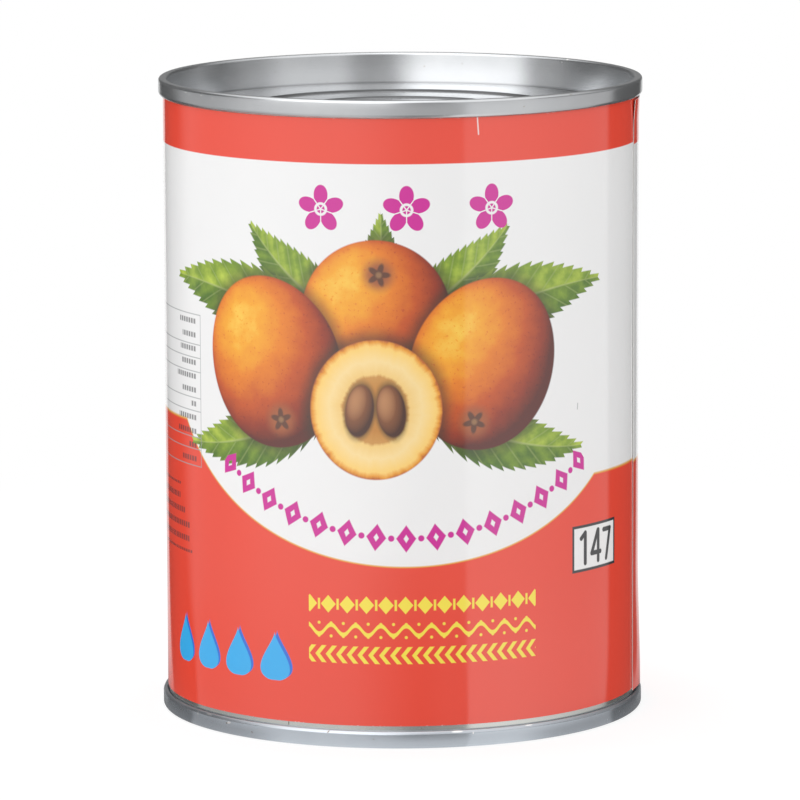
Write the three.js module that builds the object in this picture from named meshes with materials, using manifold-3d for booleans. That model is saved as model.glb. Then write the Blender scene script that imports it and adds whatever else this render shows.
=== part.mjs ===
// A sealed food can of whole loquats in light syrup: a welded three-piece tinplate can
// with double-seamed ends, a wrap-round paper label, and the fruit and syrup inside.
// Millimetres, +Z up. The origin is on the can's axis, in the plane that it stands on.
// The middle of the label's front faces -Y, and angles are degrees round from there.

import * as THREE from "three";
import { mergeVertices } from "three/addons/utils/BufferGeometryUtils.js";
import Module from "manifold-3d";

const wasm = await Module();
wasm.setup();

// ---- Driving dimensions ------------------------------------------------------------------

const SIDES = 32; // facets round the axis, shared by every round piece of the can
const CAN_HEIGHT = 113; // over both seams
const SEAM_RADIUS = 43; // outside of the seams
const SEAM_HEIGHT = 3;
const CROWN_BEND = 0.42; // bends of the end's plate over the seam's top
const FOLD_FLAT = 0.12; // between the two bends of a fold
const HOOK_TIP_GAP = 0.35; // from a hook's tip to the fold that it points into
const FLANGE_DROP = 0.72; // from the seam's top down to the fold of the body's flange

const BODY_PLATE = 0.2;
const END_PLATE = 0.22;
const CLEARANCE = 0.11; // between the plates that are rolled together in a seam

const COUNTERSINK_DEPTH = 6.2; // from the seam's top down to the groove inside the chuck wall
const COUNTERSINK_WIDTH = 1.5;
const CHUCK_TAPER = 0.35; // how far the chuck wall leans in on its way down to the groove
const PANEL_DEPTH = 5.45; // from the seam's top down to the outer ring of the end's panel
const STEP_RUN = 0.7; // width of the slope at each of the panel's steps
const PANEL_STEPS = [
  { radius: 28.3, drop: 0.4 },
  { radius: 20, drop: 0.33 },
]; // where the panel steps down towards its middle

const WELD_WIDTH = 1; // overlap of the body's side seam
const WELD_HEIGHT = 0.08; // what the mashed overlap adds on the inside
const WELD_ANGLE = 163;

const LABEL_THICKNESS = 0.1;
const LABEL_BOTTOM = 3.85;
const LABEL_HEIGHT = 106;
const LABEL_GAP = 0.07; // between the body and the label, and between the label's two layers
const HIDDEN_END = 88; // where the label's wrapping starts
const OUTER_END = 76.2; // where it ends, one turn further on
const LAP_RISE = 18; // over which the outer end climbs onto the hidden one
const GLUE_FILM = 0.04;
const GLUE_HEIGHT = 98;

const SYRUP_LEVEL = 102.8;
const CONTENTS_GAP = 0.3; // between the syrup, the fruit and the can
const FRUIT_RADIUS = 15;
const FRUIT_HALF_LENGTH = 15.4;
const FRUIT_SIDES = 10;
const CORE_RADIUS = 6.5; // the hollow that the seeds leave
const CORE_HALF_LENGTH = 8.5;
const CORE_MOUTH_RADIUS = 3; // the hole through both ends of a cored fruit
const FRUIT_LAYERS = 3;
const FRUIT_PER_LAYER = 5;
const LAYER_RISE = 31;
const MIDDLE_OFFSET = 0.8; // how far a fruit in the middle leans over to one below it
const FRUIT_TILT = 9; // the most that a fruit leans

// ---- Derived dimensions ------------------------------------------------------------------

// Mid-lines of the five thicknesses of plate in a seam, from the outside in.
const plateStep = BODY_PLATE / 2 + CLEARANCE + END_PLATE / 2;
const seamWallRadius = SEAM_RADIUS - END_PLATE / 2;
const bodyHookRadius = seamWallRadius - plateStep;
const coverHookRadius = bodyHookRadius - plateStep;
const bodyRadius = coverHookRadius - plateStep;
const chuckWallRadius = bodyRadius - plateStep;

const bodyInnerRadius = bodyRadius - BODY_PLATE / 2;
const bodyOuterRadius = bodyRadius + BODY_PLATE / 2;
const labelInnerRadius = bodyOuterRadius + LABEL_GAP;
const lapLift = LABEL_THICKNESS + LABEL_GAP;

const radians = THREE.MathUtils.degToRad;
const facetAngle = 360 / SIDES;
const toFacet = Math.cos(radians(facetAngle / 2)); // a facet's middle is nearer by this

// ---- Materials ---------------------------------------------------------------------------

const finish = (color, roughness, more) =>
  new THREE.MeshStandardMaterial({ color, roughness, ...more });
const tinplate = finish(0xb4babd, 0.32, { metalness: 1 });
const labelPaper = finish(0xee6253, 0.35);
const sealingCompound = finish(0x9a9a90, 0.8);
const labelGlue = finish(0xe6dcb8, 0.5);
const loquatFlesh = finish(0xe69a3c, 0.45);
const lightSyrup = finish(0xf3dfa6, 0.05, { transparent: true, opacity: 0.4 });

// ---- Profiles, as (radius, height) points ------------------------------------------------

// A path through corners of [radius, height, bend, steps]. A corner with a bend becomes an arc.
function bentPath(corners) {
  const at = corners.map(([r, z]) => new THREE.Vector2(r, z));
  return corners.flatMap(([, , bend, steps], i) => {
    if (!bend) return [at[i]];
    const back = at[i - 1].clone().sub(at[i]).normalize();
    const onward = at[i + 1].clone().sub(at[i]).normalize();
    const halfAngle = Math.acos(back.dot(onward)) / 2;
    const start = at[i].clone().addScaledVector(back, bend / Math.tan(halfAngle));
    const centre = back.clone().add(onward).setLength(bend / Math.sin(halfAngle)).add(at[i]);
    const turn = Math.sign(onward.cross(back)) * (Math.PI - 2 * halfAngle);
    return Array.from({ length: steps + 1 }, (_, k) =>
      start.clone().rotateAround(centre, (turn * k) / steps),
    );
  });
}

// The outline of a sheet whose middle follows the path: up its left side and down its right.
function sheetOutline(path, thickness) {
  const normals = path.slice(1).map((p, i) => {
    const along = p.clone().sub(path[i]).normalize();
    return new THREE.Vector2(-along.y, along.x);
  });
  const side = (sign) =>
    path.map((p, i) => {
      const before = normals[Math.max(i - 1, 0)];
      const after = normals[Math.min(i, normals.length - 1)];
      const mitre = before.clone().add(after).normalize();
      return p.clone().addScaledVector(mitre, (sign * thickness) / 2 / mitre.dot(before));
    });
  return [...side(1), ...side(-1).reverse()];
}

const closed = (outline) => [...outline, outline[0].clone()];

// ---- Solids ------------------------------------------------------------------------------

// The solid that an outline sweeps round the Z axis, with its faces pointing out.
function turned(outline, sides = SIDES) {
  const area = outline.reduce((sum, p, i) => sum + p.cross(outline[(i + 1) % outline.length]), 0);
  const upright = area > 0 ? outline : [...outline].reverse();
  return new THREE.LatheGeometry(upright, sides).rotateX(Math.PI / 2);
}

function solidOf(geometry) {
  const bare = geometry.clone();
  bare.deleteAttribute("normal");
  bare.deleteAttribute("uv");
  const merged = mergeVertices(bare.index ? bare.toNonIndexed() : bare, 1e-3);
  return new wasm.Manifold(
    new wasm.Mesh({
      numProp: 3,
      vertProperties: merged.attributes.position.array,
      triVerts: new Uint32Array(merged.index.array),
    }),
  );
}

function geometryOf(solid) {
  const { vertProperties, triVerts } = solid.getMesh();
  return new THREE.BufferGeometry()
    .setAttribute("position", new THREE.BufferAttribute(vertProperties, 3))
    .setIndex(new THREE.BufferAttribute(triVerts, 1));
}

// An upright sheet round the axis on the can's facets, from one angle to another.
function wrapped(innerRadiusAt, thickness, from, to, bottom, height) {
  const between = Array.from({ length: 2 * SIDES + 1 }, (_, k) => (k - SIDES) * facetAngle);
  const low = Math.min(from, to);
  const high = Math.max(from, to);
  const angles = [low, ...between.filter((angle) => angle > low && angle < high), high];
  const layer = (lift) =>
    angles.map((angle) => {
      const fromMiddle = THREE.MathUtils.euclideanModulo(angle, facetAngle) - facetAngle / 2;
      const radius = ((innerRadiusAt(angle) + lift) * toFacet) / Math.cos(radians(fromMiddle));
      return new THREE.Vector2(0, -radius).rotateAround(new THREE.Vector2(), radians(angle));
    });
  const plan = new THREE.Shape([...layer(0), ...layer(thickness).reverse()]);
  return new THREE.ExtrudeGeometry(plan, { depth: height, bevelEnabled: false }).translate(
    0,
    0,
    bottom,
  );
}

const upsideDown = (geometry) =>
  geometry.clone().rotateX(Math.PI).translate(0, 0, CAN_HEIGHT);

const can = new THREE.Group();

function add(name, geometry, material) {
  const mesh = new THREE.Mesh(geometry, material);
  mesh.name = name;
  can.add(mesh);
}

// ---- Can body ----------------------------------------------------------------------------

// The plate runs up the wall and over into a hook in each seam. The side seam is inside.
function canBody() {
  const fold = CAN_HEIGHT - FLANGE_DROP - BODY_PLATE / 2;
  const bend = (bodyHookRadius - bodyRadius - FOLD_FLAT) / 2;
  const hookTip = CAN_HEIGHT - SEAM_HEIGHT + END_PLATE + HOOK_TIP_GAP;
  const upper = [
    [bodyRadius, fold, bend, 2],
    [bodyHookRadius, fold, bend, 2],
    [bodyHookRadius, hookTip],
  ];
  const lower = upper.map(([r, z, ...arc]) => [r, CAN_HEIGHT - z, ...arc]).reverse();
  const wall = turned(closed(sheetOutline(bentPath([...lower, ...upper]), BODY_PLATE)));

  const length = CAN_HEIGHT - 2 * (COUNTERSINK_DEPTH + 1);
  const depth = WELD_HEIGHT + BODY_PLATE / 2;
  const nearestFacet = (Math.floor(WELD_ANGLE / facetAngle) + 0.5) * facetAngle;
  const weld = new THREE.BoxGeometry(WELD_WIDTH, depth, length)
    .translate(0, WELD_HEIGHT - depth / 2 - bodyInnerRadius * toFacet, CAN_HEIGHT / 2)
    .rotateZ(radians(nearestFacet));
  return geometryOf(solidOf(wall).add(solidOf(weld)));
}

add("can_body", canBody(), tinplate);

// ---- Ends --------------------------------------------------------------------------------

// The top end, from the middle of its panel out to the tip of its hook under the body's.
function canEnd() {
  const half = END_PLATE / 2;
  const levelAt = (depth) => CAN_HEIGHT - depth - half;
  const crown = levelAt(0);
  const seamFoot = CAN_HEIGHT - SEAM_HEIGHT + half;
  const hookTip = CAN_HEIGHT - FLANGE_DROP - BODY_PLATE - HOOK_TIP_GAP;
  const bend = (seamWallRadius - coverHookRadius - FOLD_FLAT) / 2;
  const grooveOuter = chuckWallRadius - CHUCK_TAPER;
  const grooveInner = grooveOuter - COUNTERSINK_WIDTH;

  let depth = PANEL_DEPTH;
  const steps = PANEL_STEPS.flatMap(({ radius, drop }) => {
    const top = [radius + STEP_RUN / 2, levelAt(depth)];
    depth += drop;
    return [top, [radius - STEP_RUN / 2, levelAt(depth)]];
  });
  const middle = [0, levelAt(depth)];
  const path = bentPath([
    middle,
    ...steps.reverse(),
    [grooveInner - CHUCK_TAPER, levelAt(PANEL_DEPTH)],
    [grooveInner, levelAt(COUNTERSINK_DEPTH - END_PLATE), 0.4, 1],
    [grooveOuter, levelAt(COUNTERSINK_DEPTH - END_PLATE), 0.55, 1],
    [chuckWallRadius, crown, CROWN_BEND, 2],
    [seamWallRadius, crown, CROWN_BEND, 2],
    [seamWallRadius, seamFoot, bend, 1],
    [coverHookRadius, seamFoot, bend, 1],
    [coverHookRadius, hookTip],
  ]);
  return turned(sheetOutline(path, END_PLATE));
}

add("top_end", canEnd(), tinplate);
add("bottom_end", upsideDown(canEnd()), tinplate);

// ---- Sealing compound --------------------------------------------------------------------

// The cushion of compound between the body's flange and the crown of the end.
function sealingRing() {
  const ceiling = CAN_HEIGHT - END_PLATE - CLEARANCE;
  const floor = CAN_HEIGHT - FLANGE_DROP + CLEARANCE / 2;
  const middle = (bodyRadius + bodyHookRadius) / 2;
  const section = [
    [middle - 0.28, floor],
    [middle + 0.28, floor],
    [middle, ceiling],
  ];
  return turned(closed(section.map(([r, z]) => new THREE.Vector2(r, z))));
}

add("top_seal", sealingRing(), sealingCompound);
add("bottom_seal", upsideDown(sealingRing()), sealingCompound);

// ---- Label -------------------------------------------------------------------------------

// The label lies on the body all round and ends on top of its own hidden end.
function labelRadiusAt(angle) {
  const lapStart = HIDDEN_END - 360;
  const climbed = THREE.MathUtils.smoothstep(-angle, -lapStart - LAP_RISE, -lapStart);
  return labelInnerRadius + lapLift * climbed;
}

function label() {
  const end = OUTER_END - 360;
  return wrapped(labelRadiusAt, LABEL_THICKNESS, HIDDEN_END, end, LABEL_BOTTOM, LABEL_HEIGHT);
}

// A stripe of glue outside a radius, over the middle of the label's height.
function glueStripe(radius, from, to) {
  const bottom = LABEL_BOTTOM + (LABEL_HEIGHT - GLUE_HEIGHT) / 2;
  const film = radius + (LABEL_GAP - GLUE_FILM) / 2;
  return wrapped(() => film, GLUE_FILM, from, to, bottom, GLUE_HEIGHT);
}

const lapMiddle = (HIDDEN_END + OUTER_END) / 2;
add("label", label(), labelPaper);
add("pickup_glue", glueStripe(bodyOuterRadius, lapMiddle, HIDDEN_END - 1), labelGlue);
add("lap_glue", glueStripe(bodyOuterRadius + lapLift, OUTER_END + 1, HIDDEN_END - 3), labelGlue);

// ---- Fruit -------------------------------------------------------------------------------

// A peeled and cored loquat, upright. Growth moves all its surfaces out, into the syrup.
function coredLoquat(growth = 0) {
  const mouth = CORE_MOUTH_RADIUS - growth;
  const barrel = (radius, halfLength, steps) => {
    const start = Math.asin(mouth / radius);
    return Array.from({ length: steps + 1 }, (_, k) => {
      const angle = THREE.MathUtils.lerp(start, Math.PI - start, k / steps);
      return new THREE.Vector2(radius * Math.sin(angle), -halfLength * Math.cos(angle));
    });
  };
  const skin = barrel(FRUIT_RADIUS + growth, FRUIT_HALF_LENGTH + growth, 6);
  const core = barrel(CORE_RADIUS - growth, CORE_HALF_LENGTH - growth, 2);
  return turned(closed([...skin, ...core.reverse()]), FRUIT_SIDES);
}

// Rings of fruit against the wall, each turned by half a fruit, with one between each two.
function fruitPlaces() {
  const lowest = COUNTERSINK_DEPTH + CONTENTS_GAP + FRUIT_HALF_LENGTH;
  const ringRadius = bodyInnerRadius * toFacet - CONTENTS_GAP - FRUIT_RADIUS;
  const places = [];
  for (let layer = 0; layer < FRUIT_LAYERS; layer++) {
    const height = lowest + layer * LAYER_RISE;
    for (let i = 0; i < FRUIT_PER_LAYER; i++) {
      const angle = ((i + layer / 2) * 360) / FRUIT_PER_LAYER;
      const tilt = FRUIT_TILT * Math.sin(4 * places.length + 1);
      places.push({ angle, radius: ringRadius, height, tilt });
    }
    if (layer + 1 < FRUIT_LAYERS) {
      const angle = ((layer / 2) * 360) / FRUIT_PER_LAYER;
      places.push({ angle, radius: MIDDLE_OFFSET, height: height + LAYER_RISE / 2, tilt: 0 });
    }
  }
  return places;
}

const placed = (geometry, { angle, radius, height, tilt }) =>
  geometry.rotateY(radians(tilt)).translate(0, -radius, height).rotateZ(radians(angle));

const places = fruitPlaces();
places.forEach((place, i) => {
  add("loquat_" + String(i + 1).padStart(2, "0"), placed(coredLoquat(), place), loquatFlesh);
});

// ---- Syrup -------------------------------------------------------------------------------

// The syrup fills the can up to its level, round the fruit and through their cores.
function syrup() {
  const floor = COUNTERSINK_DEPTH + CONTENTS_GAP;
  const radius = bodyInnerRadius - CONTENTS_GAP;
  const pool = new THREE.CylinderGeometry(radius, radius, SYRUP_LEVEL - floor, SIDES)
    .rotateX(Math.PI / 2)
    .translate(0, 0, (SYRUP_LEVEL + floor) / 2);
  const fruitSpace = (place) => solidOf(placed(coredLoquat(CONTENTS_GAP), place));
  return geometryOf(
    places.reduce((left, place) => left.subtract(fruitSpace(place)), solidOf(pool)),
  );
}

add("syrup", syrup(), lightSyrup);

export default can;
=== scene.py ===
# A sealed food can: double-seamed tinplate, a printed paper label, and loquats in syrup.
# The middle of the label's front faces -Y. Angles are degrees round from there towards +X.

import math

import bmesh
import bpy
from mathutils import Matrix, Vector, noise


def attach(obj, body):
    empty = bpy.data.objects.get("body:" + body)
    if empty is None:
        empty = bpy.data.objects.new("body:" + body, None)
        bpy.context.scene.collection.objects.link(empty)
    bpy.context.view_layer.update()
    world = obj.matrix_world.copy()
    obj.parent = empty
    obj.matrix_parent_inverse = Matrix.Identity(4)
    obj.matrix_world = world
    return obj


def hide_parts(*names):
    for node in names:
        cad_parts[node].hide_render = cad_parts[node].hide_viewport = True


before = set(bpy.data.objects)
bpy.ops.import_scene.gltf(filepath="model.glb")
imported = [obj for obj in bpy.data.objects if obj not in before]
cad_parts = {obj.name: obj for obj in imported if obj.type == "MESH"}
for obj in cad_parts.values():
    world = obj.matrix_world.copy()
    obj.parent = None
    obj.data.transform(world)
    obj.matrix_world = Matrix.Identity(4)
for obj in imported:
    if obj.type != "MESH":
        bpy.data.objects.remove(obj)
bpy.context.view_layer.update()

# ---- Sizes, in millimetres -----------------------------------------------------------------

MM = 0.001
ROUND = 192  # divisions of a turned piece
SYRUP_SIDES = 32  # flat sides of the syrup, which the outer fruits stand clear of

CAN_HEIGHT = 113
SEAM_RADIUS = 43
SEAM_HEIGHT = 3
SHADED_RUB_HEIGHT = 2.8  # the shoulder of the lower seam: rougher from rubbing, and darkened with painted shade that dims its highlight
CROWN_BEND = 0.42
FOLD_FLAT = 0.12
HOOK_TIP_GAP = 0.35
FLANGE_DROP = 0.72
BODY_PLATE = 0.2
END_PLATE = 0.22
CLEARANCE = 0.11

COUNTERSINK_DEPTH = 6.2
COUNTERSINK_WIDTH = 1.5
UPPER_TAPER = 0.6  # how far the chuck wall leans in on its way down
LOWER_TAPER = 0.35
SEAM_TUCK = (0.2, 0.42)  # how far a seam's foot turns in, and over what height
PANEL_DEPTH = 5.45
PANEL_STEPS = ((28.3, 0.4), (20, 0.33))  # radius and drop
OUTER_RISER = 28.35  # radii where painted shade darkens the metal on the slopes of those steps
INNER_RISER = 20.15
STEP_RUN = 0.7

PLATE_STEP = BODY_PLATE / 2 + CLEARANCE + END_PLATE / 2
SEAM_WALL = SEAM_RADIUS - END_PLATE / 2
BODY_HOOK = SEAM_WALL - PLATE_STEP
COVER_HOOK = BODY_HOOK - PLATE_STEP
BODY_WALL = COVER_HOOK - PLATE_STEP
CHUCK_WALL = BODY_WALL - PLATE_STEP
BODY_INSIDE = BODY_WALL - BODY_PLATE / 2
BODY_OUTSIDE = BODY_WALL + BODY_PLATE / 2

WELD_WIDTH = 1
WELD_HEIGHT = 0.08
WELD_ANGLE = 163

PAPER = 0.1
LABEL_BOTTOM = 3.85
LABEL_HEIGHT = 106
LABEL_GAP = 0.07
HIDDEN_END = 88  # where the wrapping starts, in degrees
OUTER_END = 76.2  # where it ends, one turn further on
LAP_RISE = 18
LABEL_SKEW = 0.0014  # how far the sheet climbs for each millimetre round
LABEL_RADIUS = BODY_OUTSIDE + LABEL_GAP + PAPER / 2
LABEL_COLUMNS = 300
LABEL_ROWS = 28
GLUE_FILM = 0.04
GLUE_HEIGHT = 98

FRUIT_RADIUS = 13.9  # clear of the flat sides of its space in the syrup
FRUIT_HALF_LENGTH = 14.85
CORE_RADIUS = 6.9
CORE_HALF_LENGTH = 8.9
MOUTH_RADIUS = 3.1
FRUIT_FIT = 15.3  # from a fruit's axis to the can's wall
FRUIT_LAYERS = 3
FRUIT_PER_LAYER = 5
LOWEST_FRUIT = 21.9
LAYER_RISE = 31
MIDDLE_OFFSET = 0.8
FRUIT_TILT = 9

# ---- Shader maths --------------------------------------------------------------------------


class Value:
    """A socket that shader maths is written with."""

    def __init__(self, recipe, socket):
        self.recipe = recipe
        self.socket = socket

    def op(self, operation, *others, clamp=False):
        settings = {"operation": operation, "use_clamp": clamp}
        return self.recipe.node("Math", settings, dict(enumerate((self, *others))))

    def __add__(self, other):
        return self.op("ADD", other)

    __radd__ = __add__

    def __sub__(self, other):
        return self.op("SUBTRACT", other)

    def __rsub__(self, other):
        return self.op("MULTIPLY_ADD", -1, other)

    def __mul__(self, other):
        return self.op("MULTIPLY", other)

    __rmul__ = __mul__

    def __truediv__(self, other):
        return self.op("DIVIDE", other)

    def __pow__(self, other):
        return self.op("POWER", other)

    def __neg__(self):
        return self.op("MULTIPLY", -1)

    def __abs__(self):
        return self.op("ABSOLUTE")

    def __gt__(self, other):
        return self.op("GREATER_THAN", other)

    def __lt__(self, other):
        return self.op("LESS_THAN", other)

    def least(self, other):
        return self.op("MINIMUM", other)

    def most(self, other):
        return self.op("MAXIMUM", other)

    def sine(self):
        return self.op("SINE")

    def cosine(self):
        return self.op("COSINE")

    def root(self):
        return self.op("SQRT")

    def floor(self):
        return self.op("FLOOR")

    def angle_to(self, other):
        return self.op("ARCTAN2", other)

    def length_with(self, other):
        return (self * self + other * other).root()

    def clamped(self):
        return self.op("ADD", 0, clamp=True)

    def cell(self, period, centre=0):
        """The distance from the nearest of a row of centres."""
        return self.op("WRAP", centre + period / 2, centre - period / 2) - centre

    def rise(self, start, end):
        """Smoothly from 0 at the start to 1 at the end."""
        settings = {"interpolation_type": "SMOOTHSTEP"}
        inputs = {"Value": self, "From Min": start, "From Max": end}
        return self.recipe.node("MapRange", settings, inputs, "Result")

    def inside(self, blur=0.07):
        """1 where a distance outside an outline is less than nothing, with a soft edge."""
        return self.op("MULTIPLY_ADD", -0.5 / blur, 0.5, clamp=True)


class Recipe:
    """The node tree of a material, a world or a lamp."""

    def __init__(self, owner):
        owner.use_nodes = True
        self.owner = owner
        self.tree = owner.node_tree
        self.tree.nodes.clear()

    def node(self, kind, settings=None, inputs=None, output=0):
        made = self.tree.nodes.new("ShaderNode" + kind)
        for name, value in (settings or {}).items():
            if name == "stops":
                self.set_stops(made.color_ramp, value)
            else:
                setattr(made, name, value)
        for name, value in (inputs or {}).items():
            socket = self.socket(made.inputs, name)
            if isinstance(value, Value):
                self.tree.links.new(value.socket, socket)
            else:
                socket.default_value = value
        return Value(self, self.socket(made.outputs, output))

    @staticmethod
    def socket(sockets, name):
        if isinstance(name, int):
            return sockets[name]
        return next(s for s in sockets if s.name == name and s.enabled)

    @staticmethod
    def set_stops(ramp, stops):
        for position, _ in stops[1:-1]:
            ramp.elements.new(position)
        for element, (position, colour) in zip(ramp.elements, stops):
            element.position = position
            element.color = (*colour, 1)

    def mix(self, factor, first, second):
        settings = {"data_type": "RGBA"}
        inputs = {"Factor": factor}
        for name, colour in (("A", first), ("B", second)):
            inputs[name] = colour if isinstance(colour, Value) else (*colour, 1)
        return self.node("Mix", settings, inputs, "Result")

    def ramp(self, factor, stops):
        return self.node("ValToRGB", {"stops": stops}, {"Fac": factor}, "Color")

    def split(self, vector):
        made = self.node("SeparateXYZ", None, {"Vector": vector})
        outputs = made.socket.node.outputs
        return [Value(self, outputs[name]) for name in "XYZ"]

    def join(self, x, y, z):
        return self.node("CombineXYZ", None, {"X": x, "Y": y, "Z": z})

    def place(self):
        """Object coordinates, in millimetres."""
        here = self.node("TexCoord", None, None, "Object")
        settings = {"operation": "SCALE"}
        return self.node("VectorMath", settings, {"Vector": here, "Scale": 1 / MM})

    def grain(self, vector, scale, detail=2, roughness=0.5, w=None, **more):
        """Noise about 0.5."""
        inputs = {"Vector": vector, "Scale": scale, "Detail": detail, "Roughness": roughness}
        if w is not None:
            inputs["W"] = w
        return self.node("TexNoise", more, inputs, "Fac")

    def bump(self, height, strength, distance):
        inputs = {"Height": height, "Strength": strength, "Distance": distance}
        return self.node("Bump", None, inputs)

    def surface(self, **sockets):
        """Ends a material in one Principled shader. An underscore stands for a space."""
        inputs = {}
        for name, value in sockets.items():
            if isinstance(value, tuple) and len(value) == 3 and "Radius" not in name:
                value = (*value, 1)
            inputs[name.replace("_", " ")] = value
        self.finish(self.node("BsdfPrincipled", None, inputs))
        return self.owner

    def finish(self, shader, kind="OutputMaterial"):
        end = self.tree.nodes.new("ShaderNode" + kind)
        self.tree.links.new(shader.socket, end.inputs["Surface"])


def material(name):
    return Recipe(bpy.data.materials.new(name))


# ---- Metal, paper and filling --------------------------------------------------------------


# Knocks on the seams: degrees and millimetres to their middle, half sizes, lean.
PALE_KNOCKS = (
    (-57.2, 2.4, 0.14, 0.32, 0),
    (-45.2, 2.15, 0.5, 0.22, 0.7),
    (-52.5, 2.75, 0.9, 0.12, 0),
    (12.8, 2.8, 1.1, 0.16, 0),
    (16.6, 2.45, 0.12, 0.22, 0),
    (31.0, 2.85, 0.8, 0.1, 0),
    (-67.5, 112.2, 0.12, 0.16, 0),
    (-60.5, 112.3, 0.34, 0.09, 0.3),
    (-58.8, 112.1, 0.1, 0.2, 0),
    (-53.5, 112.2, 0.26, 0.1, -0.4),
    (-49.2, 112.0, 0.16, 0.12, 0),
    (133.0, 112.9, 0.3, 0.2, 0),
)
BROWN_KNOCKS = (
    (-45.9, 2.0, 0.2, 0.14, 0.5),
    (-17.5, 2.7, 0.16, 0.24, 0.6),
    (-28.2, 3.45, 0.12, 0.4, 0),
)


def knocks(across, up, places):
    """A mask of small ragged marks."""
    found = 0
    for turn, height, half_length, half_height, lean in places:
        x = across - math.radians(turn) * SEAM_RADIUS
        y = up - height
        reach = ((x - y * lean) * (1 / half_length)).length_with(y * (1 / half_height))
        found = reach.rise(1.15, 0.7).most(found)
    return found


def tinplate(name, shine, dull, bright):
    """Tinned steel with turned lines, a cloudy bloom and scuffs, cooler on the lower seam;
    painted shade in dark lines on the ends and on the lower seam's shoulder, and a painted
    sheen low on the chuck wall.
    """
    recipe = material(name)
    place = recipe.place()
    x, y, z = recipe.split(place)
    radius = x.length_with(y)
    round_it = recipe.join(x / radius * 2.5, y / radius * 2.5, z * 7)
    lines = recipe.grain(round_it, 1, 3, 0.65, noise_dimensions="4D", w=radius * 7)
    height = abs(z - CAN_HEIGHT / 2)
    wall = radius.rise(39.2, 39.6) * radius.rise(41.9, 41.7)
    # Painted shade: dark lines at the foot of the chuck wall, round the panel's edge and on the
    # slopes of its steps, in place of the dark reflections there.
    foot = wall * height.rise(51.4, 50.95) * 0.4
    edge = radius.rise(38.2, 38.9) * radius.rise(39.6, 39.3) * 0.4
    outer_riser = abs(radius - OUTER_RISER).rise(0.45, 0.3)
    inner_riser = abs(radius - INNER_RISER).rise(0.5, 0.35)
    riser = outer_riser.most(inner_riser)
    painted_dark_lines = foot.most(edge).most(riser * 0.82)
    # Painted reflection: the chuck wall is made lighter towards its lower part, as the brighter
    # reflection there.
    painted_wall_sheen = wall * height.rise(56, 52) * 0.3
    fine = recipe.grain(place, 2.2, 3, 0.6)
    bloom = recipe.grain(place, 0.16, 3, 0.55)
    scuff = recipe.grain(place, 1.5, 2, 0.5).rise(0.75, 0.79)
    stain = (recipe.grain(place, 1.3, 2, 0.5).rise(0.74, 0.79)) * 0.6
    clean = recipe.mix(bloom, dull, bright)
    cooled = recipe.mix(z.rise(3.15, 2.95) * 0.3, clean, (0.44, 0.56, 0.70))
    scuffed = recipe.mix(scuff * 0.4, cooled, (0.86, 0.86, 0.85))
    stained = recipe.mix(stain, scuffed, (0.30, 0.23, 0.16))
    sheen_painted = recipe.mix(painted_wall_sheen, stained, (0.95, 0.97, 1.0))
    dark_lined = recipe.mix(painted_dark_lines, sheen_painted, (0.04, 0.042, 0.045))
    round_seam = x.angle_to(-y) * SEAM_RADIUS
    # The lower seam's shoulder: rougher from rubbing, and darker as painted shade over its
    # highlight line.
    rubbed_and_shaded = abs(z - SHADED_RUB_HEIGHT).rise(0.4, 0.15)
    pale, brown = (knocks(round_seam, z, places) for places in (PALE_KNOCKS, BROWN_KNOCKS))
    rubbed = recipe.mix(rubbed_and_shaded * 0.4, dark_lined, (0.40, 0.41, 0.43))
    chipped = recipe.mix(pale * 0.85, rubbed, (0.92, 0.91, 0.89))
    colour = recipe.mix(brown * 0.7, chipped, (0.16, 0.09, 0.04))
    roughness = bloom * 0.12 + lines * 0.10 + fine * 0.05 + scuff * 0.15
    roughness = roughness + rubbed_and_shaded * 0.12 + (shine - 0.13)
    relief = lines * 0.5 + fine * 0.25 + bloom * 0.6
    return recipe.surface(
        Base_Color=colour,
        Metallic=0.87,
        Roughness=roughness,
        Normal=recipe.bump(relief, 0.25, 0.00002),
    )


def bare_paper():
    """The label's unprinted side and its cut edges: white, with fibres."""
    recipe = material("unprinted_paper")
    place = recipe.place()
    fibres = recipe.grain(place, 3.5, 4, 0.7)
    cloud = recipe.grain(place, 0.25, 2, 0.5)
    colour = recipe.mix(cloud, (0.80, 0.79, 0.76), (0.86, 0.855, 0.83))
    return recipe.surface(
        Base_Color=colour,
        Roughness=fibres * 0.15 + 0.65,
        Normal=recipe.bump(fibres, 0.4, 0.00003),
    )


def paper_glue():
    recipe = material("dried_label_glue")
    place = recipe.place()
    x, y, z = recipe.split(place)
    streaks = recipe.grain(recipe.join(x * 0.3, y * 0.3, z * 1.6), 1, 3, 0.6)
    colour = recipe.mix(streaks, (0.72, 0.60, 0.36), (0.84, 0.77, 0.58))
    return recipe.surface(
        Base_Color=colour,
        Roughness=streaks * 0.3 + 0.3,
        Normal=recipe.bump(streaks, 0.5, 0.00003),
    )


def sealing_rubber():
    recipe = material("sealing_compound_rubber")
    place = recipe.place()
    pores = recipe.grain(place, 5, 3, 0.6)
    colour = recipe.mix(pores, (0.28, 0.29, 0.26), (0.42, 0.42, 0.38))
    return recipe.surface(
        Base_Color=colour,
        Roughness=pores * 0.2 + 0.6,
        Normal=recipe.bump(pores, 0.4, 0.00004),
    )


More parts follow.
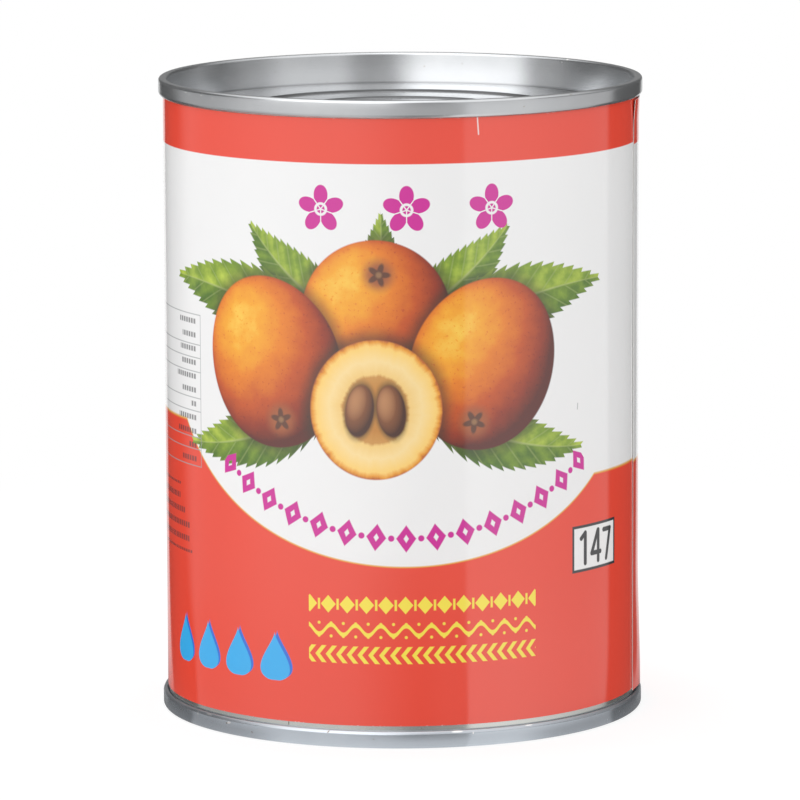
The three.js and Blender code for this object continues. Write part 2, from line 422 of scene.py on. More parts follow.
def loquat_flesh():
    """Peeled fruit: orange flesh, paler in patches, with fine threads under a wet surface."""
    recipe = material("peeled_loquat")
    place = recipe.place()
    x, y, z = recipe.split(place)
    patches = recipe.grain(place, 0.09, 3, 0.55)
    threads = recipe.grain(recipe.join(x * 0.9, y * 0.9, z * 0.18), 1, 3, 0.6)
    pits = recipe.grain(place, 1.4, 2, 0.5)
    tone = patches * 0.7 + threads * 0.3
    colour = recipe.ramp(
        tone,
        [
            (0.30, (0.62, 0.20, 0.025)),
            (0.48, (0.80, 0.36, 0.06)),
            (0.68, (0.90, 0.55, 0.16)),
        ],
    )
    return recipe.surface(
        Base_Color=colour,
        Roughness=pits * 0.2 + 0.22,
        Normal=recipe.bump(threads * 0.6 + pits * 0.4, 0.4, 0.0002),
        Subsurface_Weight=0.15,
        Subsurface_Scale=0.004,
    )


def light_syrup():
    recipe = material("light_fruit_syrup")
    place = recipe.place()
    haze = recipe.grain(place, 0.05, 2, 0.5)
    colour = recipe.mix(haze, (0.97, 0.86, 0.58), (0.99, 0.92, 0.72))
    return recipe.surface(
        Base_Color=colour,
        Roughness=haze * 0.04 + 0.02,
        Transmission_Weight=1.0,
        IOR=1.36,
    )


# ---- The label's print ---------------------------------------------------------------------

WHITE = (0.85, 0.85, 0.85)
RED = (0.80, 0.062, 0.031)
GOLD = (0.78, 0.42, 0.06)
MAGENTA = (0.60, 0.012, 0.30)
YELLOW = (0.90, 0.74, 0.07)
BLUE = (0.035, 0.42, 0.84)
DEEP_BLUE = (0.025, 0.16, 0.66)
INK = (0.035, 0.035, 0.04)
RULE_GREY = (0.33, 0.34, 0.35)
SKIN = [
    (0.00, (0.100, 0.010, 0.004)),
    (0.30, (0.290, 0.028, 0.003)),
    (0.56, (0.540, 0.080, 0.003)),
    (0.78, (0.780, 0.210, 0.004)),
    (0.92, (0.890, 0.380, 0.012)),
    (1.00, (0.930, 0.560, 0.060)),
]
LEAF = [
    (0.0, (0.020, 0.070, 0.004)),
    (0.35, (0.075, 0.165, 0.008)),
    (0.6, (0.210, 0.330, 0.020)),
    (0.85, (0.480, 0.600, 0.060)),
]
SEED = [
    (0.1, (0.060, 0.016, 0.006)),
    (0.6, (0.210, 0.070, 0.022)),
    (0.9, (0.480, 0.220, 0.090)),
    (1.0, (0.900, 0.750, 0.560)),
]

SIDE_MIDDLE = -66.3  # where the front of the print meets its mirrored back
TOP_BAND = 102
ARC_MIDDLE = (0.75, 92.9)
ARC_RADIUS = 61
LEFT_FIELD = 54.5
RIGHT_FIELD = 45.4
BORDER_RADIUS = 56
PICTURE_MIDDLE = -4.5


class Print:
    """Ink laid on the label, one motif over another, at millimetres across and up the sheet."""

    def __init__(self, recipe, across, up):
        self.recipe = recipe
        self.across = across
        self.up = up
        self.art = WHITE
        self.cover = None

    def ink(self, mask, colour):
        self.art = self.recipe.mix(mask, self.art, colour)

    def about(self, centre, turn=0, size=(1, 1), across=None):
        """Coordinates about a motif's middle, turned with it, in parts of its size."""
        x = (self.across if across is None else across) - centre[0]
        y = self.up - centre[1]
        if turn:
            cos = math.cos(math.radians(turn))
            sin = math.sin(math.radians(turn))
            x, y = x * cos + y * sin, y * cos - x * sin
        return x * (1 / size[0]), y * (1 / size[1])

    def shade_below(self, reach, spread, strength):
        """The soft shadow that a motif casts on the motifs under it."""
        if self.cover:
            near = 1 - reach.rise(0.96, 1 + spread)
            self.ink(near * self.cover * strength, (0.03, 0.025, 0.01))

    def lay(self, mask, colour):
        self.ink(mask, colour)
        self.cover = self.cover.most(mask) if self.cover else mask


def box(x, y, half_width, half_height):
    """Distance outside a rectangle."""
    return (abs(x) - half_width).most(abs(y) - half_height)


def stroke(x, y, start, end, width):
    """Distance outside a straight pen stroke."""
    run = end[0] - start[0], end[1] - start[1]
    length = run[0] ** 2 + run[1] ** 2
    along = (x - start[0]) * (run[0] / length) + (y - start[1]) * (run[1] / length)
    near = along.clamped()
    return (x - start[0] - near * run[0]).length_with(y - start[1] - near * run[1]) - width / 2


def print_fields(sheet):
    """Red above and below, and a white field between that dips in an arc at the front."""
    x = sheet.across - ARC_MIDDLE[0]
    dip = (ARC_RADIUS**2 - x * x).most(1).root()
    flat = LEFT_FIELD - (x > 0) * (LEFT_FIELD - RIGHT_FIELD)
    low = (sheet.up - (ARC_MIDDLE[1] - dip).least(flat)) * (dip / ARC_RADIUS).most(0.64)
    sheet.ink((TOP_BAND - sheet.up).inside(), RED)
    sheet.ink(low.inside(), RED)
    sheet.ink((abs(low) - 0.13).inside(0.1) * 0.85, GOLD)


def print_leaf(sheet, base, tip, width, bend, across=None):
    """A toothed leaf with a midrib and side veins. Its width is in parts of its length."""
    run = tip[0] - base[0], tip[1] - base[1]
    length = math.hypot(*run)
    turn = math.degrees(math.atan2(run[1], run[0]))
    along, aside = sheet.about(base, turn, (length, length), across)
    aside = aside + along * (1 - along) * (4 * bend)
    span = along.clamped()
    offset = abs(aside)
    teeth = (along - offset * 0.8).cell(1 / 15) * 0.35
    outline = (span**0.8 * math.pi).sine() * width - 0.004 + teeth
    outside = (offset - outline).most(abs(along - 0.5) - 0.5)
    mask = (outside * length).inside(0.12)
    veins = abs((along - offset * 1.3).cell(1 / 8))
    vein = (veins * length - 0.16).inside(0.2) * 0.55
    rib = (offset * length - (1 - span) * 0.42).inside(0.15)
    side = (aside > 0) * 0.22
    tone = sheet.mottle * 0.7 + side + veins * 2.4 - offset * 1.0 + 0.06
    leaf = sheet.recipe.ramp(tone, LEAF)
    ribbed = sheet.recipe.mix((rib.most(vein)) * 0.8, leaf, (0.42, 0.50, 0.16))
    sheet.lay(mask, ribbed)


def print_fruit(sheet, centre, size, turn, eye):
    """A ripe fruit lit from the upper left, with the dark star of its flower end."""
    x, y = sheet.about(centre, turn, size)
    reach = x.length_with(y)
    sheet.shade_below(reach, 0.2, 0.65)
    depth = (1 - reach * reach).most(0).root()
    slope = math.radians(135 - turn)
    light = x * (math.cos(slope) * 0.62) + y * (math.sin(slope) * 0.62) + depth * 0.78
    freckles = sheet.freckles.rise(0.60, 0.72) * 0.10
    tone = light * 0.86 + sheet.mottle * 0.22 - freckles
    skin = sheet.recipe.ramp(tone, SKIN)
    x, y = (x - eye[0]) * size[0], (y - eye[1]) * size[1]
    out = x.length_with(y)
    star = out - (y.angle_to(x) * 5).cosine() * 0.55 - 1.5
    skin = sheet.recipe.mix(1 - (out - 1.2).rise(0, 2.6), skin, (0.36, 0.10, 0.03))
    skin = sheet.recipe.mix(star.inside(0.25) * 0.85, skin, (0.075, 0.028, 0.015))
    skin = sheet.recipe.mix((out - 0.5).inside(0.2) * 0.7, skin, (0.36, 0.19, 0.08))
    sheet.lay(((reach - 1) * min(size)).inside(0.12), skin)


def print_half_fruit(sheet, centre, size):
    """A fruit cut in half: a rim of skin, pale flesh with rays, a hollow and two seeds."""
    x, y = sheet.about(centre, 0, size)
    reach = x.length_with(y)
    sheet.shade_below(reach, 0.25, 0.7)
    recipe = sheet.recipe
    bearing = recipe.join(x / reach * 4, y / reach * 4, reach * 1.2)
    rays = recipe.grain(bearing, 1.6, 3, 0.6)
    flesh = recipe.ramp(
        reach + (rays - 0.5) * 0.14,
        [
            (0.30, (0.62, 0.30, 0.05)),
            (0.46, (0.86, 0.56, 0.17)),
            (0.70, (0.93, 0.70, 0.32)),
            (0.90, (0.94, 0.62, 0.17)),
            (0.96, (0.80, 0.33, 0.03)),
            (1.00, (0.50, 0.13, 0.02)),
        ],
    )
    hollow = reach - 0.50 + (rays - 0.5) * 0.1
    flesh = recipe.mix((hollow * size[0]).inside(0.25) * 0.75, flesh, (0.50, 0.20, 0.035))
    sheet.lay(((reach - 1) * min(size)).inside(0.12), flesh)
    for side in (-1, 1):
        seed = (centre[0] + side * 2.75, centre[1] - 0.2)
        x, y = sheet.about(seed, side * 7, (2.5, 4.6))
        reach = x.length_with(y)
        sheet.shade_below(reach, 0.3, 0.6)
        light = (1 - reach * reach).most(0).root() * 0.75 - x * 0.35 + y * 0.35
        sheet.lay(((reach - 1) * 2.5).inside(0.12), recipe.ramp(light, SEED))


def print_picture(sheet):
    """Three whole fruits and a halved one, on a fan of leaves that is the same both ways."""
    mirrored = abs(sheet.across - PICTURE_MIDDLE)
    for base, tip, width, bend in (
        ((4, 74), (24, 91.5), 0.19, 0.05),
        ((6, 70), (46, 80), 0.155, -0.07),
        ((6, 62), (41, 51), 0.15, 0.08),
    ):
        print_leaf(sheet, base, tip, width, bend, mirrored)
    print_leaf(sheet, (PICTURE_MIDDLE - 1, 74), (PICTURE_MIDDLE + 1, 94), 0.2, 0.04)
    print_fruit(sheet, (PICTURE_MIDDLE, 75.5), (13.2, 13.4), 0, (0.05, 0.55))
    print_fruit(sheet, (PICTURE_MIDDLE - 19.5, 67), (13.4, 15.2), 24, (-0.15, -0.66))
    print_fruit(sheet, (PICTURE_MIDDLE + 19.5, 67), (13.4, 15.2), -24, (0.15, -0.66))
    print_half_fruit(sheet, (PICTURE_MIDDLE, 59.4), (11.6, 12.2))


def print_blossoms(sheet):
    """Three five-petalled flowers in a row."""
    from_middle = sheet.across - 1
    x = from_middle.cell(15)
    y = sheet.up - 94.1
    out = x.length_with(y)
    fifth = x.angle_to(y) * 2.5
    petal = out - abs(fifth.cosine()) * 2.3 - 1.9
    gap = 0.22 - out * abs(fifth.cosine())
    bud = abs(out - 0.95) - 0.22
    flower = petal.most(gap).most(-bud).inside(0.08)
    sheet.ink(flower * (abs(from_middle) < 22.5), MAGENTA)


def print_border(sheet):
    """Lozenges and beads along the bottom of the white field."""
    x, y = sheet.about(ARC_MIDDLE)
    out = x.length_with(y) - BORDER_RADIUS
    along = x.angle_to(-y) * BORDER_RADIUS
    step = abs(along.cell(5.2))
    lozenge = (step * (1 / 1.75) + abs(out) * (1 / 2.4) - 1) * 1.4
    core = (step * (1 / 0.45) + abs(out) * (1 / 0.7) - 1) * 0.4
    bead = (2.6 - step).length_with(out) - 0.55
    shape = lozenge.most(-core).least(bead).inside(0.08)
    sheet.ink(shape * (abs(along) < 37.7), MAGENTA)


BAND_HALF = 20.6  # half the length of the bands
LOZENGE_BAND = 25.2  # their heights on the label
WAVE_BAND = 20.7
CHEVRON_BAND = 16.35


def print_bands(sheet):
    """Three narrow yellow bands of ornament: lozenges, a wave and chevrons."""
    x = sheet.across - 4
    lozenge = abs(x.cell(3.4)) * 1.15 + abs(sheet.up - LOZENGE_BAND) - 1.55
    dash = box(x.cell(3.4, 1.7), sheet.up - LOZENGE_BAND, 0.2, 0.95)
    sheet.ink(lozenge.least(dash).inside() * (abs(x) < BAND_HALF), YELLOW)
    wave = abs(sheet.up - WAVE_BAND - (x * (math.tau / 4.4)).sine() * 0.85) - 0.38
    pearl = (x.cell(2.2, 1.1)).length_with(abs(sheet.up - WAVE_BAND) - 1.15) - 0.26
    sheet.ink(wave.least(pearl).inside() * (abs(x) < BAND_HALF), YELLOW)
    lean = abs((x - abs(sheet.up - CHEVRON_BAND) * 0.8).cell(1.9)) - 0.42
    chevron = lean.most(abs(sheet.up - CHEVRON_BAND) - 1.5)
    sheet.ink(chevron.inside() * (abs(x) < BAND_HALF), YELLOW)


def print_drops(sheet):
    """Four blue drops of syrup, each on a deep blue copy of itself."""
    for shift, colour in ((0.55, DEEP_BLUE), (0, BLUE)):
        from_middle = sheet.across + 35.7 - shift
        x = from_middle.cell(8.2, 4.1)
        rise = (sheet.up - 15.1 - shift * 0.7) * (1 / 4.3)
        bulge = (1 - rise) * (1 - rise * rise).most(0).root()
        drop = (abs(x) - bulge * 2.35).most(abs(rise) * 4.3 - 4.2)
        sheet.ink(drop.inside(0.09) * (abs(from_middle) < 16.4), colour)


DIGIT_STROKES = (
    ((-3.1, -2.7), (-3.1, 2.7)),
    ((-3.1, 2.7), (-4.2, 1.8)),
    ((0.75, -2.7), (0.75, 2.7)),
    ((-1.25, -1.2), (1.4, -1.2)),
    ((0.6, 2.7), (-1.25, -1.2)),
    ((2.5, 2.5), (4.7, 2.5)),
    ((4.65, 2.5), (3.4, -2.7)),
)


def print_number(sheet, facing):
    """A plain boxed number. Facing is 1, or -1 where the sheet's print is mirrored."""
    x, y = sheet.about((39.6, 32.5))
    sheet.ink(box(x, y, 6.55, 4.15).inside(), INK)
    sheet.ink(box(x, y, 6.05, 3.65).inside(), WHITE)
    x = x * facing
    digits = None
    for start, end in DIGIT_STROKES:
        line = stroke(x, y, start, end, 0.85)
        digits = digits.least(line) if digits else line
    sheet.ink(digits.inside(), INK)


TABLE_HALF = 24.8  # half the width of the grid
TABLE_HEAD = 73.4
TABLE_FOOT = 46.5
TABLE_RULES = (73.4, 68.1, 65.75, 63.25, 58.6, 56.25, 51.6, 49.5, 46.5)
ROW_HEIGHT = 2.445


def print_table(sheet, from_side):
    """A ruled grid with short grey bars in its rows, and longer ones on the red below it."""
    recipe = sheet.recipe
    inside = (abs(from_side) - TABLE_HALF).inside(0.05)
    rule = abs(abs(from_side) - TABLE_HALF).least(abs(from_side - 6))
    rule = rule.most(TABLE_FOOT - sheet.up).most(sheet.up - TABLE_HEAD)
    for height in TABLE_RULES:
        rule = rule.least(abs(sheet.up - height).most(abs(from_side) - TABLE_HALF))
    sheet.ink((rule - 0.09).inside(0.05) * 0.8, RULE_GREY)

    row = ((sheet.up - TABLE_FOOT) * (1 / ROW_HEIGHT)).floor()
    y = sheet.up - TABLE_FOOT - (row + 0.5) * ROW_HEIGHT
    chance = recipe.node("TexWhiteNoise", {"noise_dimensions": "1D"}, {"W": row}, "Value")
    letters = abs(from_side.cell(0.95)) - 0.33
    amount = box(from_side - 23.3 + chance * 3.2 + 1, y, chance * 3.2 + 1, 0.45)
    entry = box(from_side + 23.3 - chance * 5 - 3.5, y, chance * 5 + 3.5, 0.45)
    table_text = amount.least(entry).most(letters).inside(0.08)
    table_text = table_text * inside * (abs(sheet.up - 59.95) < 13.4)
    note = box(from_side, y, 16 + chance * 8, 0.5).most(letters).inside(0.08)
    note = note * (abs(sheet.up - 36.7) < 6.1)
    sheet.ink((table_text + note) * 0.72, INK)


def print_wear(sheet):
    """Nicks where the can has been knocked, and pale rubbing along the cut edges."""
    nick = stroke(sheet.across, sheet.up, (13.6, 106.9), (13.4, 109.8), 0.22)
    speck = stroke(sheet.across, sheet.up, (34.3, 57.4), (34.4, 58.4), 0.16)
    sheet.ink(nick.inside() * 0.8, WHITE)
    sheet.ink(speck.inside() * 0.6, INK)
    from_edge = (LABEL_HEIGHT / 2) - abs(sheet.up - LABEL_BOTTOM - LABEL_HEIGHT / 2)
    rubbed = (sheet.freckles - from_edge * 0.9).rise(0.56, 0.7)
    sheet.ink(rubbed * 0.5, WHITE)


def printed_label():
    """Coated paper with a glossy varnish over the print, slightly wavy from its wrapping."""
    recipe = material("printed_label_paper")
    sheet_map = recipe.node("UVMap", {"uv_map": "print"}, None, "UV")
    across, up, _ = recipe.split(sheet_map)
    from_side = across - SIDE_MIDDLE
    sheet = Print(recipe, abs(from_side) + SIDE_MIDDLE, up)
    flat = recipe.join(across, up, 0)
    sheet.mottle = recipe.grain(flat, 0.28, 3, 0.6)
    sheet.freckles = recipe.grain(flat, 1.7, 2, 0.5)
    print_fields(sheet)
    print_picture(sheet)
    print_blossoms(sheet)
    print_border(sheet)
    print_bands(sheet)
    print_drops(sheet)
    print_number(sheet, (from_side > 0) * 2 - 1)
    print_table(sheet, from_side)
    print_wear(sheet)
    cloud = recipe.grain(flat, 0.06, 2, 0.5)
    inked = recipe.mix(cloud * 0.05, sheet.art, (0.2, 0.2, 0.2))
    fibres = recipe.grain(flat, 4, 2, 0.5)
    waves = recipe.grain(recipe.join(across * 0.055, up * 0.018, 0), 1, 1, 0.4)
    return recipe.surface(
        Base_Color=inked,
        Roughness=cloud * 0.04 + fibres * 0.02 + 0.07,
        Specular_IOR_Level=1.0,
        Normal=recipe.bump(waves * 6 + fibres * 0.04, 0.35, 0.00004),
    )


# ---- Shapes --------------------------------------------------------------------------------


def piece(name, shape, materials, nodes, sharp=40):
    """Finishes a shape made in millimetres, which stands for the CAD nodes that it replaces."""
    bmesh.ops.scale(shape, vec=(MM, MM, MM), verts=shape.verts)
    for face in shape.faces:
        face.smooth = True
    for edge in shape.edges:
        edge.smooth = edge.calc_face_angle(0) < math.radians(sharp)
    mesh = bpy.data.meshes.new(name)
    shape.to_mesh(mesh)
    shape.free()
    for finish in materials:
        mesh.materials.append(finish)
    made = bpy.data.objects.new(name, mesh)
    bpy.context.scene.collection.objects.link(made)
    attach(made, "root")
    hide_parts(*nodes)
    return made


def plate(piece_made, thickness):
    """Gives a turned mid-line the thickness of its plate, the same to both sides."""
    wall = piece_made.modifiers.new("plate", "SOLIDIFY")
    wall.thickness = thickness * MM
    wall.offset = 0
    wall.use_even_offset = True
    return piece_made


def bent_wire(shape, corners):
    """A wire through corners of (radius, height), rounded where a corner gives a bend."""
    points = [shape.verts.new((corner[0], 0, corner[1])) for corner in corners]
    for start, end in zip(points, points[1:]):
        shape.edges.new((start, end))
    for before, corner, after in zip(corners, corners[1:], corners[2:]):
        if len(corner) == 2:
            continue
        at = Vector(corner[:2])
        half_angle = (Vector(before[:2]) - at).angle(Vector(after[:2]) - at) / 2
        bmesh.ops.bevel(
            shape,
            geom=[points[corners.index(corner)]],
            offset=corner[2] / math.tan(half_angle),
            offset_type="OFFSET",
            segments=corner[3],
            profile=0.5,
            affect="VERTICES",
            material=-1,
        )


def turned(shape):
    """Spins a wire round the can's axis into a closed round sheet."""
    bmesh.ops.spin(
        shape,
        geom=shape.verts[:] + shape.edges[:],
        cent=(0, 0, 0),
        axis=(0, 0, 1),
        dvec=(0, 0, 0),
        angle=math.tau,
        steps=ROUND,
        use_merge=True,
    )
    bmesh.ops.remove_doubles(shape, verts=shape.verts, dist=0.0005)
    bmesh.ops.recalc_face_normals(shape, faces=shape.faces)
    return shape


def end_shape(taper):
    """The top end, from the middle of its panel out to the tip of its hook."""

    def level(depth):
        return CAN_HEIGHT - depth - END_PLATE / 2

    seam_foot = CAN_HEIGHT - SEAM_HEIGHT + END_PLATE / 2
    hook_tip = CAN_HEIGHT - FLANGE_DROP - BODY_PLATE - HOOK_TIP_GAP
    tuck, tuck_height = SEAM_TUCK
    hook_bend = (SEAM_WALL - tuck - COVER_HOOK) / 2 - 0.01
    groove_outer = CHUCK_WALL - taper
    groove_inner = groove_outer - COUNTERSINK_WIDTH
    groove = level(COUNTERSINK_DEPTH - END_PLATE)
    depth = PANEL_DEPTH
    steps = []
    for radius, drop in PANEL_STEPS:
        steps.append((radius + STEP_RUN / 2, level(depth), 0.7, 4))
        depth += drop
        steps.append((radius - STEP_RUN / 2, level(depth), 0.7, 4))
    shape = bmesh.new()
    corners = [
        (0, level(depth)),
        (9, level(depth)),
        *reversed(steps),
        (groove_inner - taper, level(PANEL_DEPTH), 0.5, 5),
        (groove_inner, groove, 0.4, 5),
        (groove_outer, groove, 0.55, 6),
        (CHUCK_WALL, level(0), CROWN_BEND, 8),
        (SEAM_WALL, level(0), CROWN_BEND, 8),
        (SEAM_WALL, seam_foot + tuck_height, 0.3, 4),
        (SEAM_WALL - tuck, seam_foot, hook_bend * 0.8, 5),
        (COVER_HOOK, seam_foot, hook_bend, 6),
        (COVER_HOOK, hook_tip),
    ]
    bent_wire(shape, corners)
    return turned(shape)


def body_shape():
    """The can's wall, which turns over into a hook inside each seam."""
    fold = CAN_HEIGHT - FLANGE_DROP - BODY_PLATE / 2
    bend = (BODY_HOOK - BODY_WALL - FOLD_FLAT) / 2
    hook_tip = CAN_HEIGHT - SEAM_HEIGHT + END_PLATE + HOOK_TIP_GAP
    upper = [(BODY_WALL, fold, bend, 6), (BODY_HOOK, fold, bend, 6), (BODY_HOOK, hook_tip)]
    lower = [(corner[0], CAN_HEIGHT - corner[1], *corner[2:]) for corner in reversed(upper)]
    between = [(BODY_WALL, CAN_HEIGHT * share / 8) for share in range(1, 8)]
    shape = bmesh.new()
    bent_wire(shape, [*lower, *between, *upper])
    return turned(shape)


def weld_shape():
    """The mashed overlap of the body's side seam, down the inside of the wall."""
    shape = bmesh.new()
    bmesh.ops.create_cube(shape, size=1)
    length = CAN_HEIGHT - 2 * (COUNTERSINK_DEPTH + 1)
    depth = WELD_HEIGHT + BODY_PLATE / 2
    bmesh.ops.scale(shape, vec=(WELD_WIDTH, depth, length), verts=shape.verts)
    upright = [e for e in shape.edges if abs(e.verts[0].co.z - e.verts[1].co.z) > 1]
    bmesh.ops.bevel(
        shape,
        geom=upright,
        offset=0.05,
        segments=3,
        profile=0.5,
        affect="EDGES",
        material=-1,
    )
    lengthwise = [e for e in shape.edges if abs(e.verts[0].co.z - e.verts[1].co.z) > 1]
    bmesh.ops.subdivide_edges(shape, edges=lengthwise, cuts=60)
    for vert in shape.verts:
        vert.co.x *= 1 + 0.12 * noise.noise(Vector((3, 0, vert.co.z * 0.9)))
    out = WELD_HEIGHT - depth / 2 - BODY_INSIDE
    bmesh.ops.translate(shape, vec=(0, out, CAN_HEIGHT / 2), verts=shape.verts)
    turn = Matrix.Rotation(math.radians(WELD_ANGLE), 3, "Z")
    bmesh.ops.rotate(shape, cent=(0, 0, 0), matrix=turn, verts=shape.verts)
    return shape


def smooth_rise(value, start, end):
    share = min(max((value - start) / (end - start), 0), 1)
    return share * share * (3 - 2 * share)


def wrap(shape, radius_at, start, end, bottom, height, skew=0):
    """Rolls a flat grid of unit size round the can, and keeps its flat place as a UV map."""
    flat = shape.loops.layers.uv.new("print")
    middle = (start + end) / 2
    for face in shape.faces:
        for loop in face.loops:
            angle = middle + loop.vert.co.x * (end - start)
            rise = (loop.vert.co.y + 0.5) * height + bottom
            loop[flat].uv = (math.radians(angle) * LABEL_RADIUS, rise)
    for vert in shape.verts:
        angle = middle + vert.co.x * (end - start)
        rise = (vert.co.y + 0.5) * height + bottom
        across = math.radians(angle) * LABEL_RADIUS
        out = radius_at(angle, rise)
        turn = math.radians(angle)
        vert.co = (out * math.sin(turn), -out * math.cos(turn), rise + across * skew)
    shape.normal_update()


def label_radius(angle, rise):
    """The label's outside: it climbs over its hidden end, and one corner lifts off."""
    last = HIDDEN_END - 360
    climb = 1 - smooth_rise(angle, last, last + LAP_RISE)
    from_end = (angle - OUTER_END + 360) * math.pi / 180 * LABEL_RADIUS
    buckle = smooth_rise(from_end, 0, 8) * 0.45
    corner = buckle * (1 - smooth_rise(from_end, 10, 22)) * (1 - smooth_rise(rise, 4, 27))
    top_corner = (1 - smooth_rise(from_end, 0, 16)) * smooth_rise(rise, 105, 110)
    slack = noise.noise(Vector((angle * 0.06, rise * 0.02, 7))) * 0.02
    lap = climb * (PAPER + LABEL_GAP)
    return LABEL_RADIUS + PAPER / 2 + lap + corner + top_corner * 0.3 + slack


def label_shape():
    shape = bmesh.new()
    bmesh.ops.create_grid(shape, x_segments=LABEL_COLUMNS, y_segments=LABEL_ROWS, size=0.5)
    wrap(
        shape,
        label_radius,
        OUTER_END - 360,
        HIDDEN_END,
        LABEL_BOTTOM,
        LABEL_HEIGHT,
        LABEL_SKEW,
    )
    printed = set(shape.faces)
    bmesh.ops.solidify(shape, geom=shape.faces[:], thickness=PAPER)
    for face in shape.faces:
        face.material_index = 0 if face in printed else 1
    return shape


def glue_shape(radius, start, end):
    """A thin stripe of glue with a wandering thickness and ragged ends."""
    shape = bmesh.new()
    bmesh.ops.create_grid(shape, x_segments=14, y_segments=90, size=0.5)
    bottom = LABEL_BOTTOM + (LABEL_HEIGHT - GLUE_HEIGHT) / 2

    def film(angle, rise):
        ripple = noise.noise(Vector((angle * 0.9, rise * 0.35, radius))) * 0.008
        return radius + (LABEL_GAP + GLUE_FILM) / 2 + ripple

    for vert in shape.verts:
        vert.co.x *= 0.94 + 0.06 * noise.noise(Vector((1, vert.co.y * 30, radius)))
    wrap(shape, film, start, end, bottom, GLUE_HEIGHT)
    bmesh.ops.solidify(shape, geom=shape.faces[:], thickness=GLUE_FILM)
    return shape


# ---- Fruit ---------------------------------------------------------------------------------


def open_barrel(radius, half_length):
    """A drawn-out ball with a round mouth cut through each end."""
    shape = bmesh.new()
    bmesh.ops.create_uvsphere(shape, u_segments=32, v_segments=20, radius=1)
    bmesh.ops.scale(shape, vec=(radius, radius, half_length), verts=shape.verts)
    cut = half_length * math.sqrt(1 - (MOUTH_RADIUS / radius) ** 2)
    for side in (-1, 1):
        bmesh.ops.bisect_plane(
            shape,
            geom=shape.verts[:] + shape.edges[:] + shape.faces[:],
            plane_co=(0, 0, side * cut),
            plane_no=(0, 0, side),
            clear_outer=True,
        )
    return shape


def loquat_shape(number, place):
    """A peeled fruit with its core taken out through both ends."""
    shape = open_barrel(FRUIT_RADIUS, FRUIT_HALF_LENGTH)
    core = open_barrel(CORE_RADIUS, CORE_HALF_LENGTH)
    inner = bpy.data.meshes.new("core")
    core.to_mesh(inner)
    core.free()
    shape.from_mesh(inner)
    bpy.data.meshes.remove(inner)
    for side in (-1, 1):
        rims = [e for e in shape.edges if e.is_boundary and e.verts[0].co.z * side > 0]
        bmesh.ops.bridge_loops(shape, edges=rims)
    bmesh.ops.recalc_face_normals(shape, faces=shape.faces)
    for vert in shape.verts:
        lump = noise.noise(vert.co * 0.11 + Vector((number * 9.1, 0, 0)))
        dimple = noise.noise(vert.co * 0.45 + Vector((0, number * 5.3, 0)))
        vert.co *= 1 + min(lump * 0.03 + dimple * 0.008, 0.013)
    angle, radius, height, tilt = place
    lean = Matrix.Rotation(math.radians(tilt), 3, "Y")
    bmesh.ops.rotate(shape, cent=(0, 0, 0), matrix=lean, verts=shape.verts)
    bmesh.ops.translate(shape, vec=(0, -radius, height), verts=shape.verts)
    turn = Matrix.Rotation(math.radians(angle), 3, "Z")
    bmesh.ops.rotate(shape, cent=(0, 0, 0), matrix=turn, verts=shape.verts)
    return shape


def fruit_places():
    """Rings of fruit against the wall, each turned by half a fruit, with one between two."""
    ring = BODY_INSIDE * math.cos(math.radians(180 / SYRUP_SIDES)) - FRUIT_FIT
    places = []
    for layer in range(FRUIT_LAYERS):
        height = LOWEST_FRUIT + layer * LAYER_RISE
        for i in range(FRUIT_PER_LAYER):
            angle = (i + layer / 2) * 360 / FRUIT_PER_LAYER
            tilt = FRUIT_TILT * math.sin(4 * len(places) + 1)
            places.append((angle, ring, height, tilt))
        if layer + 1 < FRUIT_LAYERS:
            angle = layer / 2 * 360 / FRUIT_PER_LAYER
            places.append((angle, MIDDLE_OFFSET, height + LAYER_RISE / 2, 0))
    return places


# ---- The can -------------------------------------------------------------------------------

end_metal = tinplate("tinplate_end", 0.18, (0.53, 0.545, 0.56), (0.62, 0.63, 0.64))
wall_metal = tinplate("tinplate_wall", 0.16, (0.57, 0.58, 0.55), (0.65, 0.655, 0.625))
upper = end_shape(UPPER_TAPER)
plate(piece("upper_end", upper, [end_metal], ["top_end"]), END_PLATE)

lower = end_shape(LOWER_TAPER)
over = Matrix.Rotation(math.pi, 3, "X")
bmesh.ops.rotate(lower, cent=(0, 0, CAN_HEIGHT / 2), matrix=over, verts=lower.verts)
plate(piece("lower_end", lower, [end_metal], ["bottom_end"]), END_PLATE)

plate(piece("can_wall", body_shape(), [wall_metal], ["can_body"]), BODY_PLATE)
piece("side_weld", weld_shape(), [wall_metal], ["can_body"])

glue = paper_glue()
lap_middle = (HIDDEN_END + OUTER_END) / 2
first_glue = glue_shape(BODY_OUTSIDE, lap_middle, HIDDEN_END - 1)
piece("first_glue_stripe", first_glue, [glue], ["pickup_glue"])
second_glue = glue_shape(BODY_OUTSIDE + PAPER + LABEL_GAP, OUTER_END + 1, HIDDEN_END - 3)
piece("lap_glue_stripe", second_glue, [glue], ["lap_glue"])
piece("paper_label", label_shape(), [printed_label(), bare_paper()], ["label"])

flesh = loquat_flesh()
for number, place in enumerate(fruit_places(), 1):
    fruit = loquat_shape(number, place)
    piece(f"cored_fruit_{number:02}", fruit, [flesh], [f"loquat_{number:02}"])

rubber = sealing_rubber()
for name, finish in (("top_seal", rubber), ("bottom_seal", rubber), ("syrup", light_syrup())):
    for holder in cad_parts[name].material_slots:
        holder.material = finish

# ---- Studio --------------------------------------------------------------------------------

AMBIENT = 0.82
LAMP_DISTANCE = 1.1  # metres from the can's axis
LAMP_HEIGHT = 0.5
LAMP_SIZE = (1.8, 1.0)
LAMP_AIM = 0.06  # how high on the can the lamps point
LENS = 279.25
SENSOR = 36
SHIFT = -0.00175
CAMERA_PLACE = (0, -1.098, 0.2254)
CAMERA_DOWN = 8.84  # degrees below level
CAMERA_ROLL = -0.203


